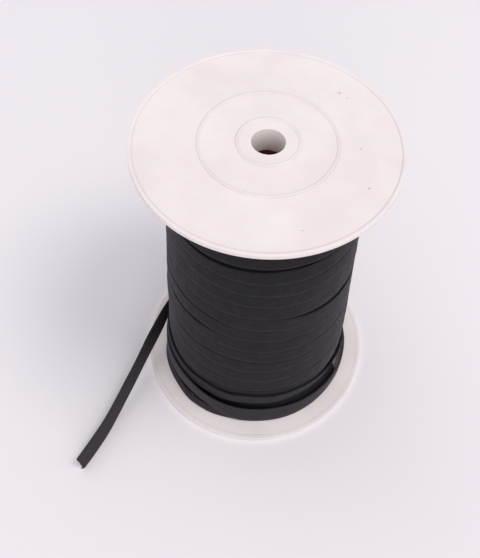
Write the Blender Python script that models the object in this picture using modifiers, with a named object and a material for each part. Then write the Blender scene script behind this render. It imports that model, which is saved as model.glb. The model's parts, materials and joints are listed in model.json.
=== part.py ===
"""Roll of flat sewing elastic on a two-flange plastic spool, standing on its lower flange.

The spool is three parts: two equal white flanges, each one moulding with a raised rim, two bead rings, a
bore with a short boss and a ring that plugs into the core, and a card core tube between them. The elastic
is one wound solid with its main turns, the two lowest of them slack, and the loose end is a flat strip that
leaves the back left of the roll and comes down to the floor.

Frame: origin on the spool's axis at the floor, +Z up the axis, +X to the right and +Y away as it is seen.
"""

import bpy
import numpy as np

MM = 0.001
GAP = 0.3 * MM

HEIGHT = 146.0 * MM
FLANGE_RADIUS = 52.0 * MM
RIM_HEIGHT = 2.0 * MM
RIM_INNER_RADIUS = 50.35 * MM
RIM_CHAMFER = 0.4 * MM
FACE_RECESS = 0.5 * MM
BEAD_HEIGHT = 0.35 * MM
BEAD_HALF_WIDTH = 0.5 * MM
MIDDLE_BEAD_RADIUS = 26.4 * MM
HUB_BEAD_RADIUS = 11.9 * MM
BORE_RADIUS = 6.5 * MM
BORE_CHAMFER = 0.3 * MM
BOSS_RADIUS = 9.0 * MM
BOSS_DEPTH = 12.5 * MM
PLUG_RADIUS = 24.1 * MM
PLUG_WALL = 1.5 * MM
PLUG_DEPTH = 7.0 * MM

CORE_OUTER_RADIUS = 26.4 * MM
CORE_INNER_RADIUS = PLUG_RADIUS + GAP

TAPE_WIDTH = 8.0 * MM
TAPE_THICKNESS = 1.0 * MM

ROLL_BORE_RADIUS = CORE_OUTER_RADIUS + GAP
TURN_TILT = 1.2 * MM
LOWEST_TILT = 2.3 * MM
LOWEST_HIGH_SIDE_DEG = -170.0
TURN_LIP = 0.3 * MM
CREVICE_DEPTH = 0.8 * MM
TRENCH_WALL_RADIUS = 40.6 * MM
TRENCH_TOP = 16.2 * MM
TRENCH_FLOOR_LEFT = 13.0 * MM
TRENCH_FLOOR_RIGHT = 4.0 * MM
SHELF_UNDERCUT = 1.2 * MM
TURN_STEPS = 72
SPOOL_STEPS = 72

EXIT_ANGLE_DEG = 163.0
EXIT_RADIUS = 43.9 * MM
END_STEP = 4.0 * MM

# Each wound turn, top to bottom: heights of its upper and lower edge at the front, radius at left and right.
TURNS = np.array(
    [
        (143.4, 134.9, 39.9, 40.1),
        (134.3, 126.5, 39.9, 40.1),
        (125.9, 118.2, 39.9, 40.1),
        (117.6, 109.9, 39.9, 40.1),
        (109.3, 102.1, 39.9, 40.1),
        (101.5, 94.0, 39.9, 40.1),
        (93.4, 85.9, 40.1, 40.2),
        (85.3, 77.9, 40.4, 40.4),
        (77.3, 69.3, 40.8, 40.5),
        (68.7, 61.1, 41.0, 40.6),
        (60.5, 52.5, 41.2, 40.8),
        (51.9, 43.9, 41.3, 41.0),
        (43.3, 35.5, 41.3, 41.2),
        (34.9, 26.8, 41.4, 41.2),
    ]
)

# The two slack turns below them, in the same columns: the one that runs on into the loose end, and the lowest.
SLACK_TURN = np.array((24.2, 16.6, 42.6, 41.3))
LOWEST_TURN = np.array((12.5, 2.6, 42.7, 43.7))

# The loose end: distance run from the roll, the drift of the tape's middle away from the roll, its height, and
# the lean of its width off the upright.
END_ROUTE = np.array(
    [
        (0.0, 0.0, 12.6, 0.0),
        (6.0, 0.0, 12.5, 6.0),
        (12.0, 0.0, 12.1, 13.0),
        (20.0, 0.0, 10.9, 18.5),
        (27.0, 0.0, 10.1, 19.0),
        (34.0, 0.0, 8.7, 16.5),
        (41.0, 0.0, 7.1, 15.3),
        (48.0, 0.0, 6.0, 16.5),
        (55.0, 0.0, 5.0, 16.2),
        (62.0, 0.0, 4.2, 16.5),
        (69.0, 0.0, 4.0, 17.5),
        (76.0, 0.4, 4.0, 19.0),
        (83.0, 1.1, 4.05, 19.0),
        (88.6, 1.8, 4.1, 18.0),
    ]
)


def clear_scene():
    """Remove every object of the startup scene."""
    for obj in list(bpy.data.objects):
        bpy.data.objects.remove(obj, do_unlink=True)


def plain_material(name, colour, roughness):
    """A Principled material with one base colour and roughness."""
    material = bpy.data.materials.new(name)
    material.use_nodes = True
    shader = material.node_tree.nodes["Principled BSDF"]
    shader.inputs["Base Color"].default_value = (*colour, 1.0)
    shader.inputs["Roughness"].default_value = roughness
    return material


def add_object(name, vertices, edges, faces, material, collection):
    """A named object from plain mesh data, shaded smooth."""
    mesh = bpy.data.meshes.new(name)
    mesh.from_pydata([tuple(v) for v in vertices], edges, faces)
    mesh.materials.append(material)
    mesh.shade_smooth()
    obj = bpy.data.objects.new(name, mesh)
    collection.objects.link(obj)
    return obj


def turned(name, profile, material, collection):
    """Turn a closed profile of (radius, height) points about Z; its outer side runs top to bottom."""
    count = len(profile)
    vertices = [(radius, 0.0, height) for radius, height in profile]
    edges = [(i, (i + 1) % count) for i in range(count)]
    obj = add_object(name, vertices, edges, [], material, collection)
    screw = obj.modifiers.new("Turn", "SCREW")
    screw.axis = "Z"
    screw.steps = SPOOL_STEPS
    screw.render_steps = SPOOL_STEPS
    screw.use_merge_vertices = True
    screw.merge_threshold = 0.00001
    screw.use_smooth_shade = True
    return obj


def bead(radius):
    """The four points of one raised ring on a flange's face, outermost first, as (radius, depth)."""
    foot, crest = BEAD_HALF_WIDTH, 0.4 * BEAD_HALF_WIDTH
    top = FACE_RECESS - BEAD_HEIGHT
    return [
        (radius + foot, FACE_RECESS),
        (radius + crest, top),
        (radius - crest, top),
        (radius - foot, FACE_RECESS),
    ]


def flange_profile():
    """One flange as (radius, depth below its rim's crest), from the rim's outer corner round the section."""
    plug_inner = PLUG_RADIUS - PLUG_WALL
    plug_end = RIM_HEIGHT + PLUG_DEPTH
    outside = [
        (FLANGE_RADIUS - RIM_CHAMFER, 0.0),
        (FLANGE_RADIUS, RIM_CHAMFER),
        (FLANGE_RADIUS, RIM_HEIGHT - RIM_CHAMFER),
        (FLANGE_RADIUS - RIM_CHAMFER, RIM_HEIGHT),
    ]
    inner_face = [
        (PLUG_RADIUS, RIM_HEIGHT),
        (PLUG_RADIUS, plug_end),
        (plug_inner, plug_end),
        (plug_inner, RIM_HEIGHT),
        (BOSS_RADIUS, RIM_HEIGHT),
        (BOSS_RADIUS, BOSS_DEPTH),
    ]
    bore = [
        (BORE_RADIUS, BOSS_DEPTH),
        (BORE_RADIUS, FACE_RECESS + BORE_CHAMFER),
        (BORE_RADIUS + BORE_CHAMFER, FACE_RECESS),
    ]
    face = bead(HUB_BEAD_RADIUS)[::-1] + bead(MIDDLE_BEAD_RADIUS)[::-1]
    rim = [(RIM_INNER_RADIUS, FACE_RECESS), (RIM_INNER_RADIUS + FACE_RECESS, 0.0)]
    return outside + inner_face + bore + face + rim


def build_spool(plastic, card, collection):
    """The two flanges, which are the same moulding turned over, and the core tube between them."""
    section = flange_profile()
    top = [(radius, HEIGHT - depth) for radius, depth in section]
    bottom = [(radius, depth) for radius, depth in section][::-1]
    turned("flange_top", top, plastic, collection)
    turned("flange_bottom", bottom, plastic, collection)
    low, high = RIM_HEIGHT + GAP, HEIGHT - RIM_HEIGHT - GAP
    tube = [
        (CORE_OUTER_RADIUS, high),
        (CORE_OUTER_RADIUS, low),
        (CORE_INNER_RADIUS, low),
        (CORE_INNER_RADIUS, high),
    ]
    turned("core_tube", tube, card, collection)


def side_mix(angles):
    """0 at the left of the roll, 1 at its right, smooth in between."""
    return 0.5 + 0.5 * np.cos(angles)


def turn_edge(height, angles):
    """A turn's edge, higher at the left than at the right as the tape winds down."""
    return height - TURN_TILT * np.cos(angles)


def roll_rings():
    """Rings of the wound solid from its top outer edge down, in under it and up its bore.

    Each ring is a (radius, height) pair of arrays over the angles round the axis.
    """
    angles = np.arange(TURN_STEPS) * 2.0 * np.pi / TURN_STEPS
    ones = np.ones_like(angles)
    low, high = RIM_HEIGHT + GAP, HEIGHT - RIM_HEIGHT - GAP
    mix = side_mix(angles)
    rings = []
    for index, (upper, lower, left, right) in enumerate(TURNS * MM):
        radius = left + (right - left) * mix
        top = ones * high if index == 0 else turn_edge(upper, angles)
        rings.append((radius + TURN_LIP, top))
        rings.append((radius - TURN_LIP, turn_edge(lower, angles)))
        rings.append((radius - CREVICE_DEPTH, turn_edge(lower - GAP, angles)))

    upper, lower, left, right = SLACK_TURN * MM
    radius = left + (right - left) * mix
    rings.append((radius - CREVICE_DEPTH, turn_edge(upper + GAP, angles)))
    rings.append((radius, turn_edge(upper, angles)))
    rings.append((radius, turn_edge(lower, angles)))
    rings.append((ones * TRENCH_WALL_RADIUS, turn_edge(TRENCH_TOP, angles)))

    upper, lower, left, right = LOWEST_TURN * MM
    radius = left + (right - left) * mix
    lift = LOWEST_TILT * np.cos(angles - np.radians(LOWEST_HIGH_SIDE_DEG))
    floor = TRENCH_FLOOR_LEFT + (TRENCH_FLOOR_RIGHT - TRENCH_FLOOR_LEFT) * mix**2
    floor = np.minimum(floor, upper + lift - GAP)
    rings.append((ones * TRENCH_WALL_RADIUS, floor))
    rings.append((radius - TAPE_THICKNESS, floor))
    rings.append((radius - TAPE_THICKNESS, upper + lift))
    rings.append((radius, upper + lift - GAP))
    rings.append((radius + GAP, 0.5 * (upper + lower) + 0.5 * lift))
    rings.append((radius, ones * lower))
    rings.append((radius - SHELF_UNDERCUT, ones * lower - GAP))
    rings.append((radius - SHELF_UNDERCUT, ones * low))
    rings.append((ones * ROLL_BORE_RADIUS, ones * low))
    rings.append((ones * ROLL_BORE_RADIUS, ones * high))
    return angles, rings


def build_roll(elastic, collection):
    """The wound elastic as one closed skin over its rings."""
    angles, rings = roll_rings()
    radius = np.array([ring[0] for ring in rings])
    height = np.array([ring[1] for ring in rings])
    points = np.stack([radius * np.cos(angles), radius * np.sin(angles), height], axis=-1)
    rows, columns = radius.shape
    index = np.arange(rows * columns).reshape(rows, columns)
    below, beside = np.roll(index, -1, axis=0), np.roll(index, -1, axis=1)
    corner = np.roll(below, -1, axis=1)
    faces = np.stack([index, below, corner, beside], axis=-1).reshape(-1, 4).tolist()
    add_object("elastic_roll", points.reshape(-1, 3), [], faces, elastic, collection)


def smooth_columns(table, distances):
    """The table's other columns at these distances, by a cubic through its points with averaged slopes."""
    knots, values = table[:, 0], table[:, 1:]
    slopes = np.gradient(values, knots, axis=0)
    place = np.clip(np.searchsorted(knots, distances, side="right") - 1, 0, len(knots) - 2)
    span = (knots[place + 1] - knots[place])[:, None]
    t = (distances[:, None] - knots[place][:, None]) / span
    start, end = values[place], values[place + 1]
    return (
        start * (1 + 2 * t) * (1 - t) ** 2
        + slopes[place] * span * t * (1 - t) ** 2
        + end * t**2 * (3 - 2 * t)
        - slopes[place + 1] * span * t**2 * (1 - t)
    )


def build_loose_end(elastic, collection):
    """The loose end: a flat section carried along its route, near upright and leaning back to the roll."""
    angle = np.radians(EXIT_ANGLE_DEG)
    outward = np.array((np.cos(angle), np.sin(angle), 0.0))
    along = np.array((-np.sin(angle), np.cos(angle), 0.0))
    up = np.array((0.0, 0.0, 1.0))
    total = END_ROUTE[-1, 0] * MM
    distances = np.linspace(0.0, total, int(round(total / END_STEP)) + 1)
    drift, height, lean = smooth_columns(END_ROUTE, distances / MM).T
    lean = np.radians(lean)[:, None]
    reach = EXIT_RADIUS + (drift * MM)[:, None]
    middle = outward * reach + distances[:, None] * along + (height * MM)[:, None] * up
    across = up * np.cos(lean) + outward * np.sin(lean)
    face = outward * np.cos(lean) - up * np.sin(lean)
    half_width, half_thickness = TAPE_WIDTH / 2, TAPE_THICKNESS / 2
    section = ((1, -1), (1, 1), (-1, 1), (-1, -1))
    points = np.stack(
        [middle + across * half_width * a + face * half_thickness * b for a, b in section], axis=1
    )
    stations, corners = points.shape[:2]
    index = np.arange(stations * corners).reshape(stations, corners)
    here, ahead = index[:-1], index[1:]
    quads = np.stack(
        [here, np.roll(here, -1, axis=1), np.roll(ahead, -1, axis=1), ahead], axis=-1
    )
    faces = quads.reshape(-1, 4).tolist() + [index[0][::-1].tolist(), index[-1].tolist()]
    add_object("elastic_end", points.reshape(-1, 3), [], faces, elastic, collection)


def main():
    clear_scene()
    collection = bpy.data.collections.new("elastic_roll_on_spool")
    bpy.context.scene.collection.children.link(collection)
    plastic = plain_material("white_plastic", (0.88, 0.84, 0.83), 0.5)
    card = plain_material("core_card", (0.12, 0.06, 0.055), 0.9)
    elastic = plain_material("black_elastic", (0.022, 0.02, 0.026), 0.8)
    build_spool(plastic, card, collection)
    build_roll(elastic, collection)
    build_loose_end(elastic, collection)


main()
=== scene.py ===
"""Dresses the roll of sewing elastic: the plastic spool, the wound tape, its slack turns and its loose end.

Lengths are in metres in the CAD's own frame: origin on the spool's axis at the floor, +Z up the axis.
"""

import json  # noqa: E402
import logging  # noqa: E402
import math  # noqa: E402
from dataclasses import dataclass, field  # noqa: E402
from enum import Enum  # noqa: E402
from typing import Any  # noqa: E402

import bpy  # noqa: E402
import numpy as np  # noqa: E402
from mathutils import Matrix  # noqa: E402

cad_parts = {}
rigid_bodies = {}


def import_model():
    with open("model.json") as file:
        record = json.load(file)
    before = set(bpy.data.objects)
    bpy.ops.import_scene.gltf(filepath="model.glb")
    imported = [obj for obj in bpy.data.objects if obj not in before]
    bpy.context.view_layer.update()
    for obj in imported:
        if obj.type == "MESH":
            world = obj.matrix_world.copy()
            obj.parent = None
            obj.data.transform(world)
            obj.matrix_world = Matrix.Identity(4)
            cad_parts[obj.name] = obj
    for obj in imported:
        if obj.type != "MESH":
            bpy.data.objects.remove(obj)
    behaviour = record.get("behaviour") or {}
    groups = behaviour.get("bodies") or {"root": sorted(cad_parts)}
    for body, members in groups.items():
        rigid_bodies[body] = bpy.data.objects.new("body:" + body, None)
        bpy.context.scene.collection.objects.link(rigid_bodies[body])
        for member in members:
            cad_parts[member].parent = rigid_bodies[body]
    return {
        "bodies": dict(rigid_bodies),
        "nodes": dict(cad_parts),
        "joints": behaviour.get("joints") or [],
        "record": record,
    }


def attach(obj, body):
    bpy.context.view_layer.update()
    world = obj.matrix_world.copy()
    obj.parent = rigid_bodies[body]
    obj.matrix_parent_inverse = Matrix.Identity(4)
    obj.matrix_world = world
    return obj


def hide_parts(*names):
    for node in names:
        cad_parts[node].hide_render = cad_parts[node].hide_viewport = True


MM: float = 0.001
BODY: str = "root"
UP: np.ndarray = np.array([0.0, 0.0, 1.0])
LOG: logging.Logger = logging.getLogger("elastic_roll")

Piece = bpy.types.Object
Finish = bpy.types.Material
Socket = bpy.types.NodeSocket
Pair = tuple[float, float]
Triple = tuple[float, float, float]
Waves = tuple[Triple, ...]


class Slot(Enum):
    """The record's material slots."""

    PLASTIC = "spool_plastic"
    CARD = "core_card"
    ELASTIC = "elastic"


class Side(Enum):
    """The two ends of the spool."""

    TOP = "top"
    BOTTOM = "bottom"


def table(*rows: tuple[float, ...]) -> Any:
    """Hold a table of numbers in a class's field, one row a knot."""
    return field(default_factory=lambda: np.array(rows))


def spread(knots: np.ndarray, at: np.ndarray) -> np.ndarray:
    """Carry a table's columns smoothly along its first one.

    Between two knots each column is the cubic whose ends match the knots' values and whose end slopes are
    the central differences there, so the curve has no corner at a knot.

    Args:
        knots: one row a knot, its position first, in rising order.
        at: the positions wanted.

    Returns:
        One row a position, one column for each of the table's other columns.
    """
    known, values = knots[:, 0], knots[:, 1:]
    slopes = np.gradient(values, known, axis=0)
    place = np.clip(np.searchsorted(known, at, side="right") - 1, 0, len(known) - 2)
    span = (known[place + 1] - known[place])[:, None]
    t = np.clip((at[:, None] - known[place][:, None]) / span, 0.0, 1.0)
    start, end = values[place], values[place + 1]
    return (
        start * (1 + 2 * t) * (1 - t) ** 2
        + slopes[place] * span * t * (1 - t) ** 2
        + end * t**2 * (3 - 2 * t)
        - slopes[place + 1] * span * t**2 * (1 - t)
    )


def ripple(at: np.ndarray, waves: Waves) -> np.ndarray:
    """Sum a few sine waves, each given by its height, its rate and its phase.

    Args:
        at: positions along the wave.
        waves: (height, cycles per unit, phase in cycles) of each wave.

    Returns:
        The waves' sum at each position.
    """
    heights, rates, phases = np.array(waves).T
    return (heights * np.sin(2 * np.pi * (at[..., None] * rates + phases))).sum(axis=-1)


def surface(
    name: str,
    points: np.ndarray,
    marks: np.ndarray,
    closed: tuple[bool, bool] = (False, False),
    turned_over: bool = False,
    caps: bool = False,
) -> Piece:
    """Make one mesh from a grid of points, with a UV map that follows the grid.

    The face between rows i, i+1 and columns j, j+1 takes its four corners from the grid, and a closed side
    joins its last row or column to its first.

    Args:
        name: the piece's name.
        points: (rows, columns, 3) places.
        marks: (rows, columns, 2) UV places, one row or column more on a closed side.
        closed: whether the rows and the columns run round.
        turned_over: True where the faces would point inwards.
        caps: True to close the first and the last row with a face each.

    Returns:
        The new object, linked to the scene.
    """
    rows, columns = points.shape[:2]
    i = np.arange(rows if closed[0] else rows - 1)[:, None]
    j = np.arange(columns if closed[1] else columns - 1)[None, :]
    corner = ((0, 0), (1, 0), (1, 1), (0, 1))
    corner = corner[::-1] if turned_over else corner
    faces = np.stack([((i + a) % rows) * columns + (j + b) % columns for a, b in corner], axis=-1)
    places = np.stack([marks[i + a, j + b] for a, b in corner], axis=-2).reshape(-1, 2)
    polygons = faces.reshape(-1, 4).tolist()
    if caps:
        first, last = np.arange(columns), np.arange(columns) + (rows - 1) * columns
        ends = (first, last[::-1]) if turned_over else (first[::-1], last)
        polygons += [end.tolist() for end in ends]
        flat = [marks[0, :columns], marks[-1, :columns]]
        flat = (flat[0], flat[1][::-1]) if turned_over else (flat[0][::-1], flat[1])
        places = np.concatenate([places, *flat])
    mesh = bpy.data.meshes.new(name)
    mesh.from_pydata(points.reshape(-1, 3).tolist(), [], polygons)
    layer = mesh.uv_layers.new(name="Tape")
    layer.data.foreach_set("uv", np.ascontiguousarray(places, np.float32).ravel())
    mesh.shade_smooth()
    mesh.update()
    piece = bpy.data.objects.new(name, mesh)
    bpy.context.scene.collection.objects.link(piece)
    return piece


def joined(name: str, parts: list[Piece]) -> Piece:
    """Put several meshes into one piece.

    Args:
        name: the new piece's name.
        parts: the objects to join, all at the origin.

    Returns:
        The one object that is left.
    """
    first = parts[0]
    with bpy.context.temp_override(
        active_object=first, selected_editable_objects=parts, selected_objects=parts
    ):
        bpy.ops.object.join()
    first.name = first.data.name = name
    return first


def turned(name: str, section: np.ndarray, steps: int, closed: bool = True) -> Piece:
    """Turn a section about the spool's axis.

    A point is (radius cos a, radius sin a, height) for the angle a, with the section's points as rows.

    Args:
        name: the piece's name.
        section: (points, 2) radii and heights, the outer side running top to bottom.
        steps: how many facets go round.
        closed: whether the section runs back to its first point.

    Returns:
        The turned piece.
    """
    angle = np.arange(steps) * 2 * np.pi / steps
    radius, height = section[:, 0, None], section[:, 1, None]
    points = np.stack(
        [radius * np.cos(angle), radius * np.sin(angle), height + 0 * angle], axis=-1
    )
    rows = len(section) + closed
    run = np.linspace(0.0, 1.0, rows)[:, None]
    around = np.linspace(0.0, 1.0, steps + 1)[None, :]
    marks = np.stack(np.broadcast_arrays(around, run), axis=-1)
    return surface(name, points, marks, closed=(closed, True))


def eased(corners: np.ndarray, radii: np.ndarray, steps: int = 4) -> np.ndarray:
    """Round off the corners of a closed section.

    Each corner becomes the quadratic curve that leaves one side and meets the next, both at the given
    distance from the corner, with the corner itself as its middle control point.

    Args:
        corners: (corners, 2) points of the section.
        radii: how far from each corner its rounding starts, 0 to keep it sharp.
        steps: points on each rounding.

    Returns:
        (points, 2) the eased section.
    """
    before = np.roll(corners, 1, axis=0) - corners
    after = np.roll(corners, -1, axis=0) - corners
    shorter = np.minimum(np.linalg.norm(before, axis=1), np.linalg.norm(after, axis=1))
    reach = np.minimum(radii, 0.45 * shorter)[:, None]
    start = corners + reach * before / np.linalg.norm(before, axis=1, keepdims=True)
    end = corners + reach * after / np.linalg.norm(after, axis=1, keepdims=True)
    t = np.linspace(0.0, 1.0, steps)[None, :, None]
    curve = (
        (1 - t) ** 2 * start[:, None] + 2 * t * (1 - t) * corners[:, None] + t**2 * end[:, None]
    )
    sharp = radii <= 0.0
    keep = np.ones((len(corners), steps), bool)
    keep[sharp, 1:] = False
    return curve[keep]


class Shading:
    """A material's nodes, with short calls for the ones that these finishes use."""

    def __init__(self, name: str) -> None:
        """Start an empty Principled material.

        Args:
            name: the material's name.
        """
        self.material: Finish = bpy.data.materials.new(name)
        self.material.use_nodes = True
        self.tree: bpy.types.NodeTree = self.material.node_tree
        self.shader: bpy.types.Node = self.tree.nodes["Principled BSDF"]

    def put(self, socket: Socket, value: object) -> None:
        """Link a node's output to a socket, or set the socket to a plain value.

        Args:
            socket: the input to feed.
            value: another node's output, or a plain value.
        """
        if isinstance(value, Socket):
            self.tree.links.new(value, socket)
        else:
            socket.default_value = value

    def place(self) -> Socket:
        """The point in the object's own frame, in metres."""
        return self.tree.nodes.new("ShaderNodeTexCoord").outputs["Object"]

    def along_and_across(self) -> tuple[Socket, Socket]:
        """The piece's own UV map.

        Returns:
            The place along the tape, and the place across it.
        """
        chart = self.tree.nodes.new("ShaderNodeUVMap")
        chart.uv_map = "Tape"
        split = self.tree.nodes.new("ShaderNodeSeparateXYZ")
        self.put(split.inputs[0], chart.outputs["UV"])
        return split.outputs["X"], split.outputs["Y"]

    def calc(self, kind: str, *values: object, clamp: bool = False) -> Socket:
        """One Math node.

        Args:
            kind: the node's operation.
            values: its inputs, sockets or numbers.
            clamp: whether the result is kept between 0 and 1.

        Returns:
            The result.
        """
        node = self.tree.nodes.new("ShaderNodeMath")
        node.operation = kind
        node.use_clamp = clamp
        for socket, value in zip(node.inputs, values):
            self.put(socket, value)
        return node.outputs[0]

    def cloud(
        self, where: Socket, scale: float, detail: float = 2.0, rough: float = 0.5
    ) -> Socket:
        """Noise between 0 and 1.

        Args:
            where: the coordinates it is read at.
            scale: cycles per metre, or per unit of the coordinates.
            detail: how many finer layers are added.
            rough: how strong the finer layers are.

        Returns:
            The noise's value.
        """
        node = self.tree.nodes.new("ShaderNodeTexNoise")
        self.put(node.inputs["Vector"], where)
        node.inputs["Scale"].default_value = scale
        node.inputs["Detail"].default_value = detail
        node.inputs["Roughness"].default_value = rough
        return node.outputs["Fac"]

    def graded(self, value: Socket, low: float, high: float, to_low: float, to_high: float) -> Socket:
        """Map a range of a value to another, smoothly and kept within it.

        Args:
            value: what is mapped.
            low: where its range starts.
            high: where its range ends.
            to_low: the result at the start.
            to_high: the result at the end.

        Returns:
            The mapped value.
        """
        node = self.tree.nodes.new("ShaderNodeMapRange")
        node.interpolation_type = "SMOOTHSTEP"
        self.put(node.inputs["Value"], value)
        for key, number in zip(("From Min", "From Max", "To Min", "To Max"), (low, high, to_low, to_high)):
            node.inputs[key].default_value = number
        return node.outputs[0]

    def blended(self, share: object, first: object, second: object) -> Socket:
        """Mix two colours.

        Args:
            share: how much of the second one, from 0 to 1.
            first: the first colour.
            second: the second colour.

        Returns:
            The mixed colour.
        """
        node = self.tree.nodes.new("ShaderNodeMix")
        node.data_type = "RGBA"
        self.put(node.inputs[0], share)
        self.put(node.inputs[6], first)
        self.put(node.inputs[7], second)
        return node.outputs[2]

    def spots(self, where: Socket, scale: float, size: float) -> Socket:
        """Rare round flecks, each about a random point of its own cell.

        Args:
            where: the coordinates they lie in.
            scale: cells per metre.
            size: a fleck's radius, as a share of a cell.

        Returns:
            1 inside a fleck and 0 outside.
        """
        node = self.tree.nodes.new("ShaderNodeTexVoronoi")
        self.put(node.inputs["Vector"], where)
        node.inputs["Scale"].default_value = scale
        return self.graded(node.outputs["Distance"], 0.6 * size, size, 1.0, 0.0)

    def from_axis(self, where: Socket) -> Socket:
        """How far a place is from the vertical axis.

        Args:
            where: the place.

        Returns:
            The distance.
        """
        flat = self.tree.nodes.new("ShaderNodeVectorMath")
        flat.operation = "MULTIPLY"
        flat.inputs[1].default_value = (1.0, 1.0, 0.0)
        self.put(flat.inputs[0], where)
        long = self.tree.nodes.new("ShaderNodeVectorMath")
        long.operation = "LENGTH"
        self.put(long.inputs[0], flat.outputs["Vector"])
        return long.outputs["Value"]

    def near(self, where: Socket, point: Triple, size: float) -> Socket:
        """One soft round spot.

        Args:
            where: the coordinates it lies in.
            point: its middle.
            size: its radius.

        Returns:
            1 in its inner half, falling to 0 at its edge.
        """
        node = self.tree.nodes.new("ShaderNodeVectorMath")
        node.operation = "DISTANCE"
        self.put(node.inputs[0], where)
        node.inputs[1].default_value = point
        return self.graded(node.outputs["Value"], 0.5 * size, size, 1.0, 0.0)

    def bumped(self, height: Socket, depth: float, strength: float) -> None:
        """Give the shader a bump.

        Args:
            height: the height to follow.
            depth: how deep a full unit of it is, in metres.
            strength: how much of it shows, from 0 to 1.
        """
        node = self.tree.nodes.new("ShaderNodeBump")
        node.inputs["Strength"].default_value = strength
        node.inputs["Distance"].default_value = depth
        self.put(node.inputs["Height"], height)
        self.put(self.shader.inputs["Normal"], node.outputs["Normal"])

    def fixed(self, **values: float) -> None:
        """Set plain values on the shader's own sockets, an underscore standing for a space."""
        for key, value in values.items():
            self.shader.inputs[key.replace("_", " ")].default_value = value


@dataclass(frozen=True)
class SpoolPlastic:
    """Off-white moulded plastic: satin, faintly mottled, with a few dark specks and painted shade in its
    corners.

    A corner is the radius in mm of a dark line of painted shade, at the foot of a bead ring or inside the
    rim, and how dark that line is. A speck is its place and its radius in metres.
    """

    colour: Triple = (0.815, 0.755, 0.735)
    shade: Triple = (0.77, 0.70, 0.68)
    speck_and_shade_colour: Triple = (0.42, 0.34, 0.32)
    speck_and_shade_share: float = 0.75
    # painted shade: dark lines at the feet of the bead rings and inside the rim, where the ridges shade the
    # disc
    corners: tuple[Pair, ...] = (
        (11.35, 0.22), (12.5, 0.34), (25.85, 0.22), (26.95, 0.34), (50.3, 0.3),
    )
    painted_shade_falloff: Pair = (0.12, 0.42)
    fleck: Pair = (95.0, 0.035)
    roughness: Pair = (0.40, 0.56)
    mottle_scale: float = 38.0
    smear_scale: float = 160.0
    uneven_scale: float = 70.0
    grain_scale: float = 1400.0
    relief: Pair = (0.04 * MM, 0.35)
    specks: tuple[tuple[float, float, float, float], ...] = (
        (0.0256, 0.0299, 0.1455, 0.0006),
        (0.0347, 0.0008, 0.1455, 0.0005),
        (0.0379, -0.0180, 0.1455, 0.0006),
    )

    def material(self) -> Finish:
        """Mix the plastic.

        Returns:
            Its material.
        """
        kit = Shading("spool_plastic")
        where = kit.place()
        mottle = kit.cloud(where, self.mottle_scale, 3.0, 0.55)
        base = kit.blended(kit.graded(mottle, 0.35, 0.7, 0.0, 1.0), (*self.colour, 1), (*self.shade, 1))
        specks_and_painted_shade = kit.spots(where, *self.fleck)
        radius = kit.calc("MULTIPLY", kit.from_axis(where), 1.0 / MM)
        # painted shade along the rings' feet, broken up by noise and mixed in with the real dark specks
        uneven = kit.graded(kit.cloud(where, self.uneven_scale, 2.0), 0.3, 0.7, 0.55, 1.0)
        for at, share in self.corners:
            off = kit.calc("ABSOLUTE", kit.calc("SUBTRACT", radius, at))
            line = kit.calc("MULTIPLY", kit.graded(off, *self.painted_shade_falloff, share, 0.0), uneven)
            specks_and_painted_shade = kit.calc("MAXIMUM", specks_and_painted_shade, line)
        for x, y, z, size in self.specks:
            specks_and_painted_shade = kit.calc("MAXIMUM", specks_and_painted_shade, kit.near(where, (x, y, z), size))
        base = kit.blended(kit.calc("MULTIPLY", specks_and_painted_shade, self.speck_and_shade_share), base, (*self.speck_and_shade_colour, 1))
        kit.put(kit.shader.inputs["Base Color"], base)
        smear = kit.cloud(where, self.smear_scale, 4.0, 0.6)
        kit.put(kit.shader.inputs["Roughness"], kit.graded(smear, 0.3, 0.7, *self.roughness))
        grain = kit.cloud(where, self.grain_scale, 2.0)
        kit.bumped(kit.calc("ADD", kit.calc("MULTIPLY", mottle, 2.0), grain), *self.relief)
        kit.fixed(Specular_IOR_Level=0.45, Subsurface_Weight=0.06, Subsurface_Scale=0.002)
        return kit.material


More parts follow.
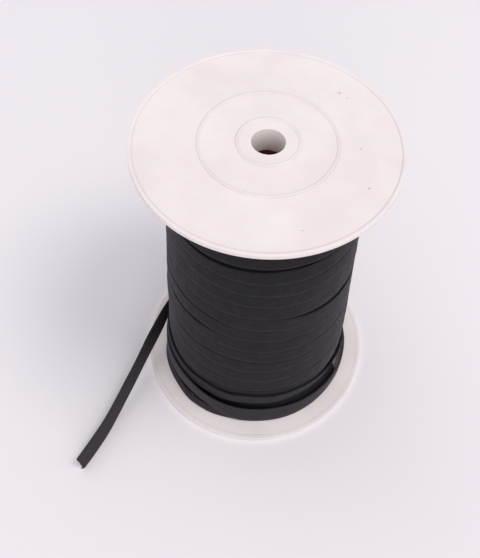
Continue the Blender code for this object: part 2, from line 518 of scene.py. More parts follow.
@dataclass(frozen=True)
class BlackElastic:
    """Black braided elastic: fine ribs along the tape, slanting stitches across them, a dusty sheen.

    It is paler in worn patches and streaks, and along its edges, where the paling is partly wear and partly
    a painted highlight on the turns' edges. With a length to grow in over, it starts as the start colour
    and takes its own along that stretch.
    """

    name: str = "black_elastic"
    colour: Triple = (0.0060, 0.0060, 0.0088)
    worn_and_highlight: Triple = (0.0120, 0.0105, 0.0132)
    start_colour: Triple = (0.0080, 0.0075, 0.0102)
    grows_in: float = 0.0
    lint: Triple = (0.35, 0.33, 0.33)
    lint_share: float = 0.5
    lint_fleck: Pair = (60.0, 0.016)
    ribs: float = 15.0
    stitch_per_mm: float = 1.4
    patch_scale: float = 260.0
    streak_scale: float = 55.0
    edge_wear_and_highlight: float = 0.7
    roughness: Pair = (0.66, 0.82)
    relief: Pair = (0.07 * MM, 0.5)
    sheen: float = 0.09
    sheen_tint: Triple = (0.78, 0.72, 0.80)

    def material(self) -> Finish:
        """Weave the elastic.

        Returns:
            Its material.
        """
        kit = Shading(self.name)
        along, across = kit.along_and_across()
        where = kit.place()
        rib_turn = kit.calc("MULTIPLY", across, self.ribs)
        rib = kit.calc("ABSOLUTE", kit.calc("SINE", kit.calc("MULTIPLY", rib_turn, math.pi)))
        slant = kit.calc("PINGPONG", rib_turn, 1.0)
        stitch_turn = kit.calc("ADD", kit.calc("MULTIPLY", along, self.stitch_per_mm / MM), slant)
        stitch = kit.calc("SINE", kit.calc("MULTIPLY", stitch_turn, 2 * math.pi))
        weave = kit.calc("ADD", kit.calc("MULTIPLY", rib, 0.7), kit.calc("MULTIPLY", stitch, 0.18))
        patchy = kit.cloud(where, self.patch_scale, 4.0, 0.6)
        streak = kit.cloud(where, self.streak_scale, 2.0, 0.5)
        off_middle = kit.calc("ABSOLUTE", kit.calc("SUBTRACT", across, 0.5))
        # painted highlight: the tape's edges are paler, partly wear and partly standing in for the light
        # that the turns' edges catch
        edge = kit.graded(off_middle, 0.40, 0.5, 0.0, self.edge_wear_and_highlight)
        wear_and_highlight = kit.calc("ADD", kit.graded(patchy, 0.35, 0.75, 0.0, 0.30), edge)
        wear_and_highlight = kit.calc("ADD", wear_and_highlight, kit.graded(streak, 0.3, 0.75, 0.0, 0.25))
        wear_and_highlight = kit.calc("ADD", wear_and_highlight, kit.calc("MULTIPLY", weave, 0.16), clamp=True)
        base = kit.blended(wear_and_highlight, (*self.colour, 1), (*self.worn_and_highlight, 1))
        lint = kit.calc("MULTIPLY", kit.spots(where, *self.lint_fleck), self.lint_share)
        base = kit.blended(lint, base, (*self.lint, 1))
        if self.grows_in:
            share = kit.graded(along, 0.0, self.grows_in, 0.0, 1.0)
            base = kit.blended(share, (*self.start_colour, 1), base)
        kit.put(kit.shader.inputs["Base Color"], base)
        kit.put(kit.shader.inputs["Roughness"], kit.graded(patchy, 0.3, 0.7, *self.roughness))
        kit.bumped(kit.calc("ADD", weave, kit.calc("MULTIPLY", patchy, 0.5)), *self.relief)
        kit.fixed(Specular_IOR_Level=0.14, Sheen_Weight=self.sheen, Sheen_Roughness=0.45)
        kit.shader.inputs["Sheen Tint"].default_value = (*self.sheen_tint, 1.0)
        return kit.material


@dataclass(frozen=True)
class CoreCard:
    """Dark red-brown card, wound in a slow spiral with its plies just showing.

    Its faint glow stands for the light that soaks in through the white flange.
    """

    colour: Triple = (0.36, 0.15, 0.14)
    dark: Triple = (0.2, 0.08, 0.078)
    glow: Triple = (0.62, 0.11, 0.13)
    glow_strength: float = 0.03
    plies: float = 5.0
    ply_rate: float = 12.6

    def material(self) -> Finish:
        """Mix the card.

        Returns:
            Its material.
        """
        kit = Shading("core_card")
        where = kit.place()
        fibre = kit.cloud(where, 500.0, 4.0, 0.65)
        blotch = kit.cloud(where, 90.0, 2.0)
        along, across = kit.along_and_across()
        spiral = kit.calc("ADD", kit.calc("MULTIPLY", across, self.plies), along)
        ply = kit.calc("SINE", kit.calc("MULTIPLY", spiral, self.ply_rate))
        share = kit.graded(blotch, 0.3, 0.7, 0.0, 0.4)
        share = kit.calc("ADD", kit.graded(fibre, 0.3, 0.7, 0.0, 0.5), share)
        share = kit.calc("ADD", share, kit.graded(ply, 0.9, 1.0, 0.0, 0.3), clamp=True)
        kit.put(kit.shader.inputs["Base Color"], kit.blended(share, (*self.colour, 1), (*self.dark, 1)))
        kit.bumped(fibre, 0.1 * MM, 0.5)
        kit.fixed(Roughness=0.9, Specular_IOR_Level=0.2, Emission_Strength=self.glow_strength)
        kit.shader.inputs["Emission Color"].default_value = (*self.glow, 1.0)
        return kit.material


@dataclass(frozen=True)
class PaleFloor:
    """A plain pale sweep under the spool."""

    colour: Triple = (0.835, 0.80, 0.82)
    darker: float = 0.97
    drift_scale: float = 2.5

    def material(self) -> Finish:
        """Mix the floor's finish.

        Returns:
            Its material.
        """
        kit = Shading("pale_floor")
        drift = kit.cloud(kit.place(), self.drift_scale, 2.0)
        darker = tuple(self.darker * c for c in self.colour)
        kit.put(kit.shader.inputs["Base Color"], kit.blended(drift, (*self.colour, 1), (*darker, 1)))
        kit.fixed(Roughness=0.75, Specular_IOR_Level=0.2)
        return kit.material


def dress(piece: Piece, material: Finish, slot: Slot, *nodes: str) -> None:
    """Give a piece its finish, its body and the CAD nodes that it stands for.

    Args:
        piece: the finished object.
        material: its material.
        slot: the record's slot that the finish comes from; not used.
        nodes: the CAD nodes that it replaces.
    """
    piece.data.materials.clear()
    piece.data.materials.append(material)
    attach(piece, BODY)
    if nodes:
        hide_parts(*nodes)
    LOG.info("%s: %d faces", piece.name, len(piece.data.polygons))


@dataclass
class SpoolFlange:
    """One end of the spool: a disc with a raised rim, two bead rings, a bore in a boss and a plug ring."""

    side: Side
    height: float = 146.0 * MM
    radius: float = 52.0 * MM
    rim_height: float = 2.0 * MM
    rim_inner: float = 50.35 * MM
    recess: float = 0.5 * MM
    bead_height: float = 0.35 * MM
    bead_half: float = 0.5 * MM
    fine_ease: float = 0.25 * MM
    beads: Pair = (11.93 * MM, 26.38 * MM)
    bore: float = 6.5 * MM
    boss: float = 9.0 * MM
    boss_depth: float = 12.5 * MM
    plug: float = 24.1 * MM
    plug_wall: float = 1.5 * MM
    plug_depth: float = 7.0 * MM
    bevel: float = 0.12 * MM
    rim_ease: float = 0.35 * MM
    rim_slope: float = 0.45 * MM
    crest_ease: float = 0.4 * MM
    ease: float = 0.3 * MM
    steps: int = 288

    def bead(self, radius: float) -> list[Triple]:
        """One bead ring.

        Args:
            radius: its middle's distance from the axis.

        Returns:
            Its corners from the inside out, as radius, depth and rounding.
        """
        foot, crest, top = self.bead_half, 0.4 * self.bead_half, self.recess - self.bead_height
        return [
            (radius - foot, self.recess, self.fine_ease),
            (radius - crest, top, self.fine_ease),
            (radius + crest, top, self.fine_ease),
            (radius + foot, self.recess, self.fine_ease),
        ]

    def section(self) -> np.ndarray:
        """The disc's section, its corners eased.

        Returns:
            (points, 2) radius, and depth below the rim's crest.
        """
        back, ease = self.rim_height, self.ease
        inner, end = self.plug - self.plug_wall, back + self.plug_depth
        corners = [
            (self.radius - self.bevel, 0.0, self.rim_ease),
            (self.radius, self.bevel, self.rim_ease),
            (self.radius, back - self.bevel, ease),
            (self.radius - self.bevel, back, ease),
            (self.plug, back, ease),
            (self.plug, end, ease),
            (inner, end, ease),
            (inner, back, ease),
            (self.boss, back, ease),
            (self.boss, self.boss_depth, ease),
            (self.bore, self.boss_depth, self.fine_ease),
            (self.bore, self.recess, ease),
            *self.bead(self.beads[0]),
            *self.bead(self.beads[1]),
            (self.rim_inner, self.recess, ease),
            (self.rim_inner + self.rim_slope, 0.0, self.crest_ease),
        ]
        knots = np.array(corners)
        return eased(knots[:, :2], knots[:, 2])

    def build(self, finish: Finish) -> Piece:
        """Turn the disc and dress it.

        Args:
            finish: the plastic.

        Returns:
            The flange.
        """
        section = self.section()
        if self.side is Side.TOP:
            section = np.stack([section[:, 0], self.height - section[:, 1]], axis=1)
        else:
            section = section[::-1]
        piece = turned(f"spool_flange_{self.side.value}", section, self.steps)
        dress(piece, finish, Slot.PLASTIC, f"flange_{self.side.value}")
        return piece


@dataclass
class CoreTube:
    """The card tube between the flanges, seen only through the bore."""

    outer: float = 26.4 * MM
    inner: float = 24.4 * MM
    low: float = 2.3 * MM
    high: float = 143.7 * MM
    ease: float = 0.3 * MM
    steps: int = 120

    def build(self, finish: Finish) -> Piece:
        """Turn the tube and dress it.

        Args:
            finish: the card.

        Returns:
            The tube.
        """
        outer, inner, low, high = self.outer, self.inner, self.low, self.high
        corners = np.array([(outer, high), (outer, low), (inner, low), (inner, high)])
        section = eased(corners, np.full(4, self.ease))
        piece = turned("card_core", section, self.steps)
        dress(piece, finish, Slot.CARD, "core_tube")
        return piece


def polar_frame(
    angle: np.ndarray, radius: np.ndarray, height: np.ndarray, lean: np.ndarray
) -> tuple[np.ndarray, np.ndarray, np.ndarray]:
    """The line, width and face directions of a tape that goes round the axis.

    The line is (radius cos a, radius sin a, height). The width leans from the upright towards the outside
    by the lean, and the face is square to it.

    Args:
        angle: where the tape is round the axis, in radians.
        radius: its middle's distance from the axis.
        height: its middle's height.
        lean: how far its upper edge leans out, in radians.

    Returns:
        The line's points, the width's directions and the outer face's directions.
    """
    out = np.stack([np.cos(angle), np.sin(angle), 0 * angle], axis=1)
    middle = out * radius[:, None] + height[:, None] * UP
    cos, sin = np.cos(lean)[:, None], np.sin(lean)[:, None]
    return middle, UP * cos + out * sin, out * cos - UP * sin


@dataclass
class Tape:
    """The flat elastic itself: its width, its thickness and the rounding of its edges."""

    width: float = 8.0 * MM
    thickness: float = 0.8 * MM
    edge: float = 0.19 * MM
    face_steps: int = 5

    def section(self) -> tuple[np.ndarray, np.ndarray]:
        """The tape's section, from the foot of its outer face up, over its edge and down the inner face.

        Returns:
            (points, 2) across and outwards, in metres from the middle, and the share of the width that each
            point lies at, counted on from 1 to 2 down the inner face.
        """
        w, t, e = self.width / 2, self.thickness / 2, self.edge
        bend = np.radians(np.array([0.0, 30.0, 60.0, 90.0]))
        upper = np.stack([w - e + e * np.sin(bend), t - e + e * np.cos(bend)], axis=1)
        lower = upper[::-1] * (1, -1)
        face = np.linspace(-(w - e), w - e, self.face_steps + 2)[1:-1]
        outer = np.stack([face, np.full_like(face, t)], axis=1)
        points = np.concatenate([outer, upper, lower, -outer, -upper, -lower])
        across = points[:, 0] / self.width + 0.5
        inside = np.arange(len(points)) >= len(outer) + len(upper)
        return points, np.where(inside, 2.0 - across, across)

    def carried(
        self,
        name: str,
        middle: np.ndarray,
        across: np.ndarray,
        outward: np.ndarray,
        width: np.ndarray | None = None,
    ) -> Piece:
        """Carry the section along a line.

        Each row of the grid is the line's point plus the section's two coordinates along the across and
        outward directions there, the first one stretched where the tape is pulled wider or narrower.

        Args:
            name: the piece's name.
            middle: (points, 3) the line that the tape's middle follows.
            across: (points, 3) unit directions of its width.
            outward: (points, 3) unit directions of its outer face.
            width: (points,) its width along the line, the tape's own where not given.

        Returns:
            The closed strip.
        """
        section, share = self.section()
        stretch = np.ones(len(middle)) if width is None else width / self.width
        points = (
            middle[:, None]
            + stretch[:, None, None] * section[None, :, 0, None] * across[:, None]
            + section[None, :, 1, None] * outward[:, None]
        )
        steps = np.linalg.norm(np.diff(middle, axis=0), axis=1)
        run = np.concatenate([[0.0], np.cumsum(steps)])[:, None]
        share = np.append(share, 2.0 + share[0])[None, :]
        marks = np.stack(np.broadcast_arrays(run, share), axis=-1)
        return surface(name, points, marks, closed=(False, True), caps=True)

    def wound(self, name: str, knots: np.ndarray, steps: int, waves: Waves = ((0.0, 0.0, 0.0),)) -> Piece:
        """Carry the tape round the axis, on the line that runs smoothly through the knots.

        Args:
            name: the piece's name.
            knots: rows of an angle in degrees, the height of the tape's middle in mm, the radius of its
                outer face in mm, the lean of its upper edge outwards in degrees, and its width in mm.
            steps: how many places there are along it.
            waves: the ripples of its radius in mm, counted once round the axis.

        Returns:
            The strip.
        """
        angle = np.linspace(knots[0, 0], knots[-1, 0], steps)
        height, outer, lean, width = spread(knots, angle).T
        radius = (outer + ripple(angle / 360, waves)) * MM - self.thickness / 2
        line = polar_frame(np.radians(angle), radius, height * MM, np.radians(lean))
        return self.carried(name, *line, width * MM)


@dataclass
class WoundTape:
    """The outer layer of the winding: one tape wound round and down, through the slack turn to the exit.

    A turn is counted where it passes the front of the roll, so a place on the tape is a turn and a share of
    the next. The first table gives the height of the tape's upper edge in mm, the second the radius of its
    outer face in mm at the left and the right of the roll with the lean of its upper edge outwards in
    degrees, and the third how far apart it and the turn above lie in mm, half of it to either side of the
    edge's height, or how far they overlap where it is below zero. From the slack turn on, that gap is even.
    Small waves make the height, the lean and the radius uneven, and die out towards the slack turn.
    """

    tape: Tape = field(default_factory=Tape)
    edges: np.ndarray = table(
        (-1.4, 147.0), (-1.0, 143.7), (0.0, 134.6), (1.0, 126.2), (1.85, 119.6), (1.93, 118.7),
        (2.0, 118.85), (2.07, 118.9), (2.13, 118.6), (2.3, 116.9), (2.84, 112.1), (2.9, 111.4),
        (3.0, 109.7), (3.1, 108.9), (3.92, 102.5), (4.03, 101.3), (4.11, 100.7), (4.85, 95.5),
        (4.98, 94.0), (5.11, 92.7), (5.85, 88.2), (5.91, 87.5), (5.98, 85.8), (6.05, 84.9), (6.11, 82.5),
        (6.4, 81.6), (6.83, 80.2), (6.92, 79.2), (6.97, 77.6), (7.09, 76.1), (7.86, 69.1), (8.0, 69.0),
        (8.08, 68.0), (8.84, 61.2), (8.88, 62.0), (8.97, 61.2), (9.11, 59.5), (9.82, 51.8), (9.88, 53.0),
        (9.94, 53.2), (10.0, 52.2), (10.11, 51.3), (10.86, 43.3), (10.93, 44.3), (10.99, 43.5),
        (11.1, 44.4), (11.17, 43.8), (11.87, 35.3), (11.93, 35.7), (12.0, 35.4), (12.08, 35.1),
        (12.3, 33.0), (12.5, 30.0), (12.65, 27.0), (12.75, 24.8), (12.8, 23.8), (12.85, 23.0),
        (12.89, 22.8), (12.92, 23.4), (12.95, 22.5), (12.97, 22.6), (12.99, 23.4), (13.02, 23.2),
        (13.05, 22.6), (13.083, 22.4), (13.108, 21.8), (13.136, 20.6), (13.158, 19.5), (13.192, 18.5),
        (13.22, 17.6), (13.25, 17.1), (13.4, 18.2), (13.5, 18.7), (13.6, 18.1), (13.66, 17.0),
        (13.7028, 16.6),
    )
    sides: np.ndarray = table(
        (-1.4, 39.9, 40.05, -1.6), (4.0, 39.9, 40.1, -1.6), (5.0, 40.03, 40.15, -1.6),
        (6.0, 40.4, 40.35, -1.6), (7.0, 40.77, 40.42, -1.6), (8.0, 41.0, 40.6, -1.6),
        (9.0, 41.2, 40.76, -1.6), (10.0, 41.2, 41.02, -1.6), (11.0, 41.3, 41.16, -1.6),
        (12.0, 41.4, 41.15, -1.6), (12.3, 41.4, 41.2, 0.5), (12.55, 41.8, 41.7, -2.0),
        (12.65, 42.3, 42.3, -4.0), (12.76, 42.65, 42.65, -5.0), (12.8, 42.5, 42.5, -2.5),
        (12.85, 42.3, 42.3, 1.0), (12.91, 42.2, 42.2, 1.6), (12.935, 42.1, 42.1, 3.2),
        (12.955, 42.0, 42.0, 5.2), (12.975, 42.0, 42.0, 7.5), (13.0, 41.9, 41.9, 7.4),
        (13.04, 41.8, 41.8, 7.4), (13.083, 41.55, 41.55, 9.0), (13.108, 41.45, 41.45, 10.0),
        (13.136, 41.3, 41.3, 11.0), (13.158, 41.25, 41.25, 11.0), (13.2, 41.3, 41.3, 11.0),
        (13.22, 41.4, 41.4, 10.0), (13.25, 41.4, 41.4, 5.0), (13.3, 41.5, 41.5, 1.0),
        (13.4, 41.9, 41.9, 0.0), (13.5, 42.4, 42.4, 0.0), (13.6, 43.3, 43.3, 0.0),
        (13.66, 44.15, 44.15, 0.0), (13.7028, 44.3, 44.3, 0.0),
    )
    gaps: np.ndarray = table(
        (1.82, -0.32), (1.88, 1.2), (1.93, 2.1), (2.0, 2.2), (2.08, 1.9), (2.13, 1.0), (2.18, -0.32),
        (2.8, -0.32), (2.85, 0.4), (2.91, 0.35), (2.95, -0.32), (6.05, -0.32), (6.08, 0.55), (6.12, 0.5),
        (6.4, 0.2), (6.8, 0.5), (6.94, 0.5), (6.98, -0.32), (8.0, -0.32), (9.7, 0.2), (9.82, 0.55),
        (9.94, 0.5), (10.1, 0.35), (10.3, -0.32), (10.8, -0.32), (10.87, 0.35), (10.97, 0.3),
        (11.0, -0.32), (11.85, -0.32), (11.89, 0.3), (11.95, 0.25), (12.0, -0.32),
    )
    widest: np.ndarray = table((12.0, 8.6), (12.35, 8.0))
    slack_from: float = 12.5
    slack_gap: float = 0.3
    height_waves: Waves = ((0.05, 5.17, 0.3), (0.04, 11.3, 0.1), (0.03, 23.7, 0.6))
    lean_waves: Waves = ((0.4, 1.9, 0.1), (0.3, 4.7, 0.5))
    radius_waves: Waves = ((0.06, 2.63, 0.2), (0.04, 5.9, 0.7), (0.03, 17.3, 0.4))
    waves_end: float = 12.6
    ceiling: float = 143.65
    per_turn: int = 220
    front_deg: float = -90.0

    def path(self) -> tuple[np.ndarray, np.ndarray, np.ndarray, np.ndarray, np.ndarray]:
        """Follow the tape from the top turn to the exit.

        The angle is a full round a turn, and the radius swings from the left one to the right one with its
        cosine. The upper edge is the first table's. The lower edge lies a gap above the upper edge of the
        turn below, or as far down as the tape is wide where that is nearer.

        Returns:
            Angle, radius, height, lean and width of the tape at each place.
        """
        first, last = self.edges[0, 0], self.edges[-1, 0]
        turn = np.linspace(first, last, int((last - first) * self.per_turn))
        half_own, half_below = (0.5 * np.interp(at, *self.gaps.T) for at in (turn, turn + 1))
        gap = np.where(turn + 1 < self.slack_from, half_below, self.slack_gap)
        below = np.where(turn + 1 < last, spread(self.edges, turn + 1)[:, 0] + gap, 0.0)
        main = np.clip(self.waves_end - turn, 0.0, 1.0)
        upper = spread(self.edges, turn)[:, 0] - half_own * (turn < self.slack_from)
        upper = np.minimum(upper, self.ceiling)
        left, right, lean = spread(self.sides, turn).T
        lean = np.radians(lean * (1 + main * ripple(turn, self.lean_waves)))
        lowest = upper - np.interp(turn, *self.widest.T) * np.cos(lean)
        lower = np.maximum(below, lowest) + ripple(turn, self.height_waves) * main
        angle = np.radians(self.front_deg) + 2 * np.pi * turn
        outer = left + (right - left) * (0.5 + 0.5 * np.cos(angle)) + ripple(turn, self.radius_waves) * main
        radius = outer * MM - self.tape.thickness / 2
        return angle, radius, 0.5 * (upper + lower) * MM, lean, (upper - lower) / np.cos(lean) * MM

    def build(self, finish: Finish) -> Piece:
        """Carry the tape along its path and dress it.

        Args:
            finish: the elastic.

        Returns:
            The outer layer.
        """
        *line, width = self.path()
        piece = self.tape.carried("wound_tape", *polar_frame(*line), width)
        dress(piece, finish, Slot.ELASTIC, "elastic_roll")
        return piece


@dataclass
class LayersBeneath:
    """The turns under the outer layer: its gaps' dark, and the turns that show over and under the slack.

    The body's row is a height and its radius there in mm. The turns' rows are the tape's own.
    """

    tape: Tape = field(default_factory=Tape)
    sides: np.ndarray = table(
        (2.3, 39.6), (10.0, 39.6), (18.0, 39.9), (28.0, 40.1), (45.0, 40.15), (60.0, 39.9), (75.0, 39.6),
        (85.0, 39.3), (95.0, 39.1), (143.7, 39.0),
    )
    bore: float = 26.7
    over: np.ndarray = table(
        (-250.0, 24.5, 40.6, 0.5, 8.0), (-180.0, 22.8, 41.2, 0.5, 8.0), (-130.0, 22.6, 41.25, 0.5, 8.0),
        (-90.0, 22.5, 41.2, 0.5, 8.0), (-60.0, 22.7, 41.1, 0.5, 8.0), (-45.0, 23.8, 41.05, 0.5, 8.0),
        (-35.0, 25.2, 41.0, 0.5, 8.0), (-28.0, 25.7, 41.0, 0.5, 8.0), (-12.0, 26.2, 41.0, 0.5, 8.0),
        (60.0, 24.5, 40.6, 0.5, 8.0),
    )
    under: np.ndarray = table(
        (-205.0, 7.0, 40.0, 0.0, 8.6), (-175.0, 7.0, 41.8, 0.0, 8.6), (-150.0, 7.0, 42.4, 0.0, 8.6),
        (-125.0, 7.0, 42.4, 0.0, 8.6), (-113.0, 7.0, 41.6, -2.0, 8.6), (-102.0, 7.6, 40.2, -6.0, 8.6),
        (-92.0, 8.2, 39.8, -8.0, 8.6), (-75.0, 8.3, 40.6, -12.0, 9.3), (-55.0, 8.3, 41.3, -14.0, 9.5),
        (-38.0, 8.3, 41.5, -14.0, 9.5), (-28.0, 8.3, 41.4, -14.0, 9.5), (-20.0, 8.3, 41.2, -14.0, 9.5),
    )
    turn_steps: int = 300
    body_steps: tuple[int, int] = (200, 144)

    def build(self, finish: Finish) -> Piece:
        """Turn the body of the winding about the axis and carry the two turns round it.

        Args:
            finish: the elastic.

        Returns:
            The body.
        """
        up_steps, round_steps = self.body_steps
        height = np.linspace(self.sides[-1, 0], self.sides[0, 0], up_steps)
        side = np.stack([spread(self.sides, height)[:, 0], height], axis=1)
        section = np.concatenate([side, [(self.bore, height[-1]), (self.bore, height[0])]]) * MM
        body = turned("layers_beneath", section, round_steps)
        over = self.tape.wound("turn_over_slack", self.over, self.turn_steps)
        under = self.tape.wound("turn_under_slack", self.under, self.turn_steps)
        for piece in (over, under, body):
            dress(piece, finish, Slot.ELASTIC, "elastic_roll")
        return body


@dataclass
class LowestTurn:
    """The lowest turn, one and a half times round: level at the left, on the flange from the front on.

    It bellies out at the right, and its second time round leans in under the first at the left and front.
    Its rows are the tape's own, and its width is less where the upper edge turns in.
    """

    tape: Tape = field(default_factory=Tape)
    knots: np.ndarray = table(
        (-238.0, 12.6, 41.0, 0.0, 8.0), (-215.0, 12.2, 42.0, 0.0, 8.0), (-197.0, 11.8, 42.8, -1.0, 8.0),
        (-185.0, 11.6, 43.15, -2.0, 8.0), (-172.0, 11.9, 43.4, -2.0, 8.0),
        (-158.0, 12.4, 43.6, -1.5, 8.0), (-140.0, 12.8, 43.7, -1.0, 8.0), (-134.0, 12.8, 43.7, 0.3, 8.0),
        (-127.0, 12.4, 43.7, 2.0, 8.0), (-120.0, 11.4, 43.8, 2.2, 8.0), (-113.0, 10.2, 43.8, 2.0, 8.0),
        (-106.0, 8.7, 43.7, -3.0, 8.0), (-100.0, 7.5, 43.6, -9.0, 8.0), (-94.0, 6.7, 43.45, -11.0, 8.0),
        (-88.0, 6.4, 43.25, -11.0, 8.0), (-80.0, 6.35, 43.2, -10.5, 8.0), (-70.0, 6.3, 43.25, -9.5, 8.0),
        (-60.0, 6.3, 43.55, -6.0, 8.0), (-50.0, 6.3, 43.7, -2.3, 8.0), (-40.0, 6.3, 43.8, 0.0, 8.0),
        (-30.0, 6.3, 44.0, 2.0, 8.0), (-20.0, 6.3, 44.05, 1.5, 8.0), (-13.0, 6.3, 43.95, 1.0, 8.0),
        (-8.0, 6.3, 43.85, -1.0, 8.0), (-2.0, 6.3, 43.75, -5.5, 8.0), (5.0, 6.25, 43.7, -10.0, 8.0),
        (14.0, 6.25, 43.6, -12.0, 8.0), (60.0, 6.2, 43.6, -12.0, 8.0), (120.0, 6.2, 43.0, -13.0, 8.0),
        (163.0, 6.15, 42.4, -14.0, 8.0), (185.0, 6.15, 42.35, -15.0, 8.0),
        (200.0, 5.4, 43.6, -17.0, 6.5), (212.0, 4.2, 44.1, -20.0, 4.0), (222.0, 4.0, 44.35, -20.0, 3.5),
        (233.0, 4.0, 44.9, -20.0, 3.5), (241.0, 4.0, 44.65, -20.0, 3.5), (248.0, 4.0, 44.4, -20.0, 3.5),
        (255.0, 4.0, 43.8, -20.0, 3.5), (263.0, 4.0, 43.2, -20.0, 3.5),
    )
    radius_waves: Waves = ((0.05, 5.3, 0.2), (0.03, 12.1, 0.6))
    steps: int = 560

    def build(self, finish: Finish) -> Piece:
        """Carry the tape round its path and dress it.

        Args:
            finish: the elastic.

        Returns:
            The turn.
        """
        piece = self.tape.wound("lowest_turn", self.knots, self.steps, self.radius_waves)
        dress(piece, finish, Slot.ELASTIC, "elastic_roll")
        return piece


@dataclass
class LooseEnd:
    """The loose end of the tape, from where it leaves the roll down to the floor.

    Each row is the distance run from the roll, the drift of the tape's middle away from the roll and its
    height, all in mm, and the lean of its width in degrees. A stub of frayed thread has its place across
    the tape as a share of its width, its reach past the cut in mm, and its bend off the tape's line.
    """

    tape: Tape = field(default_factory=Tape)
    exit_deg: float = 163.0
    exit_radius: float = 43.9 * MM
    route: np.ndarray = table(
        (0.0, 0.0, 12.6, 0.0), (6.0, 0.0, 12.5, 6.0), (12.0, 0.0, 12.1, 13.0), (20.0, 0.0, 10.9, 18.5),
        (27.0, 0.0, 10.1, 19.0), (34.0, 0.0, 8.7, 16.5), (41.0, 0.0, 7.1, 15.3), (48.0, 0.0, 6.0, 16.5),
        (55.0, 0.0, 5.0, 16.2), (62.0, 0.0, 4.2, 16.5), (69.0, 0.0, 4.0, 17.5), (76.0, 0.4, 4.0, 19.0),
        (83.0, 1.1, 4.05, 19.0), (88.6, 1.8, 4.1, 18.0),
    )
    steps: int = 150
    stub_spots: np.ndarray = field(default_factory=lambda: np.linspace(-0.43, 0.43, 9))
    stub_reach: tuple[float, ...] = (0.75, 0.3, 0.2, 0.12, 0.15, 0.1, 0.2, 0.3, 0.4)
    stub_bend: tuple[float, ...] = (0.25, -0.2, 0.1, 0.25, -0.15, 0.2, -0.2, 0.15, -0.2)
    stub_root: float = 0.4 * MM
    stub_radii: Pair = (0.42, 0.28)

    def directions(self) -> tuple[np.ndarray, np.ndarray]:
        """Unit directions away from the axis at the exit, and along the tape's run."""
        a = math.radians(self.exit_deg)
        return np.array([math.cos(a), math.sin(a), 0.0]), np.array([-math.sin(a), math.cos(a), 0.0])

    def line(self, count: int) -> tuple[np.ndarray, np.ndarray, np.ndarray]:
        """Follow the tape's route.

        Args:
            count: how many places are wanted along it.

        Returns:
            The middle line's points, the width's directions and the outer face's directions.
        """
        out, along = self.directions()
        run = np.linspace(0.0, self.route[-1, 0], count)
        drift, height, lean = spread(self.route, run).T
        lean = np.radians(lean)[:, None]
        reach = self.exit_radius + drift[:, None] * MM
        middle = out * reach + run[:, None] * MM * along + height[:, None] * MM * UP
        return middle, UP * np.cos(lean) + out * np.sin(lean), out * np.cos(lean) - UP * np.sin(lean)

    def frayed_threads(self) -> Piece:
        """The fused ends of the threads along the cut.

        Each is a short stub: a circle carried along a straight line that starts in the cut and leans off it
        by its own small angles.

        Returns:
            The stubs, as one piece.
        """
        line = self.line(self.steps)
        middle, across, outward = (part[-1] for part in line)
        ahead = (middle - line[0][-2]) / np.linalg.norm(middle - line[0][-2])
        t = np.linspace(0.0, 1.0, 5)[:, None, None]
        turn = np.linspace(0.0, 2 * np.pi, 7)[:-1][None, :, None]
        ring = np.cos(turn) * across + np.sin(turn) * outward
        thick, thin = self.stub_radii
        parts = []
        for index, spot in enumerate(self.stub_spots):
            start = middle + across * spot * self.tape.width - ahead * self.stub_root
            way = ahead + self.stub_bend[index] * (0.6 * across + outward)
            length = self.stub_reach[index] * MM + self.stub_root
            points = start + way * length * t + ring * (thick + (thin - thick) * t) * MM
            marks = np.zeros((5, 7, 2)) + spot + 0.5
            parts.append(
                surface(f"thread_{index}", points, marks, closed=(False, True), turned_over=True, caps=True)
            )
        return joined("frayed_threads", parts)

    def build(self, finish: Finish) -> Piece:
        """Args:
            finish: the elastic.

        Returns:
            The tape.
        """
        middle, across, outward = self.line(self.steps)
        piece = self.tape.carried("loose_end", middle, across, outward)
        dress(piece, finish, Slot.ELASTIC, "elastic_end")
        threads = self.frayed_threads()
        dress(threads, finish, Slot.ELASTIC)
        return piece


@dataclass(frozen=True)
class Lamp:
    """One square soft light: where it hangs, the point that it faces, its side, its power and its tint."""

    name: str
    at: Triple
    to: Triple
    size: float
    watts: float
    colour: Triple

    def hang(self) -> None:
        """Make the light and turn it to its point."""
        light = bpy.data.lights.new(self.name, "AREA")
        light.size, light.energy, light.color = self.size, self.watts, self.colour
        lamp = bpy.data.objects.new(self.name, light)
        back = np.array(self.at) - np.array(self.to)
        back = back / np.linalg.norm(back)
        side = np.cross(UP, back)
        side = side / np.linalg.norm(side)
        turn = np.stack([side, np.cross(back, side), back], axis=1)
        lamp.matrix_world = Matrix.Translation(self.at) @ Matrix(turn.tolist()).to_4x4()
        bpy.context.scene.collection.objects.link(lamp)


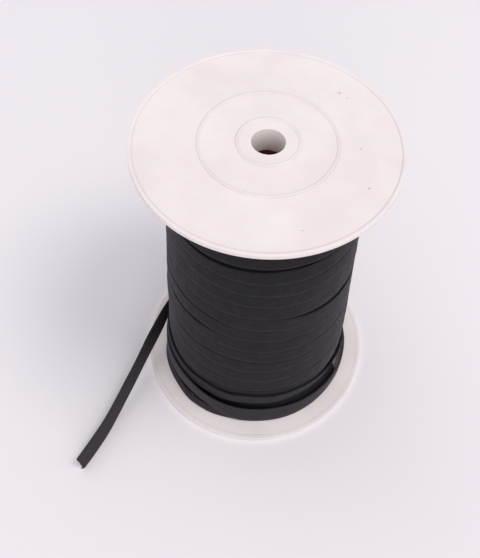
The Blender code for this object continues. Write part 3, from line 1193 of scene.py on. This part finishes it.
@dataclass
class Studio:
    """The pale floor, the soft light from the right and the camera."""

    camera_at: Triple = (0.009581, -0.209737, 0.372196)
    look_down_deg: float = 46.55356
    roll_deg: float = 5.67024
    lens_mm: float = 53.4095
    shift: Pair = (-0.09862, -0.25925)
    room: Triple = (0.95, 0.94, 1.0)
    room_strength: float = 0.735
    lamps: tuple[Lamp, ...] = (
        Lamp("window_right", (0.66, -0.22, 1.65), (0.0, 0.0, 0.05), 0.6, 9.5, (1.0, 0.985, 0.975)),
        Lamp("back_left", (-1.0, 0.9, 1.5), (0.0, 0.0, 0.03), 1.2, 3.0, (1.0, 0.985, 0.99)),
        Lamp("front", (0.2, -1.75, 0.9), (0.0, 0.0, 0.03), 1.2, 8.5, (1.0, 0.985, 0.99)),
    )
    floor_half: float = 5.0

    def light(self) -> None:
        """Set the room's even light and the soft lamps."""
        world = bpy.data.worlds.new("room")
        world.use_nodes = True
        sky = world.node_tree.nodes["Background"]
        sky.inputs["Color"].default_value = (*self.room, 1.0)
        sky.inputs["Strength"].default_value = self.room_strength
        bpy.context.scene.world = world
        for lamp in self.lamps:
            lamp.hang()

    def camera(self) -> None:
        """Stand the camera where the photograph was taken from."""
        down, roll = math.radians(self.look_down_deg), math.radians(self.roll_deg)
        ahead = np.array([0.0, math.cos(down), -math.sin(down)])
        level, fall = np.array([1.0, 0.0, 0.0]), np.array([0.0, -math.sin(down), -math.cos(down)])
        right = math.cos(roll) * level - math.sin(roll) * fall
        below = math.sin(roll) * level + math.cos(roll) * fall
        data = bpy.data.cameras.new("camera")
        data.lens, data.sensor_width, data.clip_start = self.lens_mm, 36.0, 0.01
        data.shift_x, data.shift_y = self.shift
        camera = bpy.data.objects.new("camera", data)
        turn = Matrix(np.stack([right, -below, -ahead], axis=1).tolist()).to_4x4()
        camera.matrix_world = Matrix.Translation(self.camera_at) @ turn
        bpy.context.scene.collection.objects.link(camera)
        bpy.context.scene.camera = camera

    def floor(self, finish: Finish) -> Piece:
        """Lay the floor, a square grid at height zero.

        Args:
            finish: the floor's material.

        Returns:
            The floor.
        """
        side = np.linspace(-self.floor_half, self.floor_half, 3)
        x, y = np.meshgrid(side, side, indexing="ij")
        points = np.stack([x, y, 0 * x], axis=-1)
        piece = surface("floor", points, points[..., :2])
        piece.data.materials.append(finish)
        return piece

    def build(self) -> None:
        """Set up the whole studio."""
        self.camera()
        self.light()
        self.floor(PaleFloor().material())
        bpy.context.scene.view_settings.view_transform = "Standard"


def main() -> None:
    """Build the studio and every piece of the roll, in order."""
    logging.basicConfig(level=logging.INFO, format="%(name)s: %(message)s")
    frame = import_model()
    LOG.info("frame: %s", type(frame).__name__)
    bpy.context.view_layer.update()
    Studio().build()
    plastic = SpoolPlastic().material()
    elastic = BlackElastic().material()
    # painted light: a lighter copy of the elastic for the loose end and the lowest turn, standing in for
    # the brighter light on them; each starts in a darker colour and grows into it over its first 4 cm
    lighter_elastic = BlackElastic(
        "black_elastic_lighter", (0.0205, 0.0188, 0.0240), (0.043, 0.036, 0.041), grows_in=0.04
    ).material()
    card = CoreCard().material()
    LooseEnd().build(lighter_elastic)
    SpoolFlange(Side.TOP).build(plastic)
    SpoolFlange(Side.BOTTOM).build(plastic)
    CoreTube().build(card)
    LayersBeneath().build(elastic)
    WoundTape().build(elastic)
    LowestTurn().build(lighter_elastic)
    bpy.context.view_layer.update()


if __name__ == "__main__":
    main()
